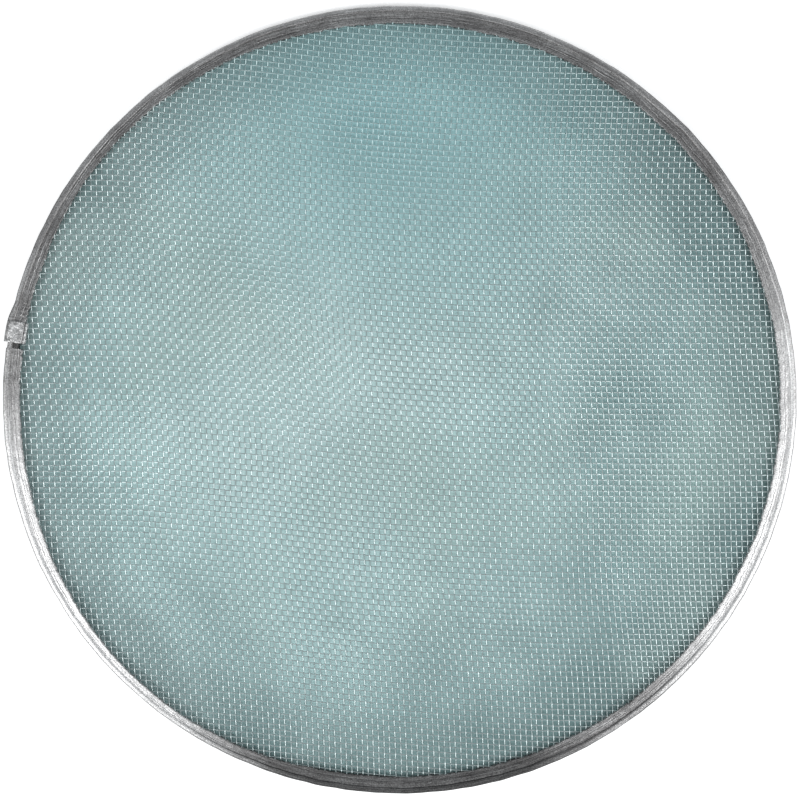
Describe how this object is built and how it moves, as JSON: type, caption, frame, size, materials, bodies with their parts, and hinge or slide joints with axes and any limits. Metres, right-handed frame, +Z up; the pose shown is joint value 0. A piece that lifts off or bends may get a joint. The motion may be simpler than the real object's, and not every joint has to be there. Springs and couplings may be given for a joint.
{
  "type": "soil sieve",
  "caption": "Round woven-wire sieve screen held in a folded metal rim, used flat to sift soil and potting mix.",
  "frame": {"origin": "centre of the rim, on the plane that the sieve lies on", "axes": "+Z up, square to the wire cloth; the warp wires run near +Y and the weft wires near +X; the clip is near -X"},
  "size_m": [0.3051, 0.305, 0.0034],
  "materials": {
    "rim_sheet": "galvanised sheet, satin, with fine scratches along the rim",
    "clip_sheet": "bright mottled galvanised sheet",
    "core_steel": "drawn steel wire, dull",
    "wire_cloth": "bright drawn wire, slightly cool grey"
  },
  "bodies": {
    "root": {"rim_strip": "rim_sheet", "core_wire": "core_steel", "joint_clip": "clip_sheet", "warp_wires": "wire_cloth", "weft_wires": "wire_cloth"}
  },
  "joints": []
}
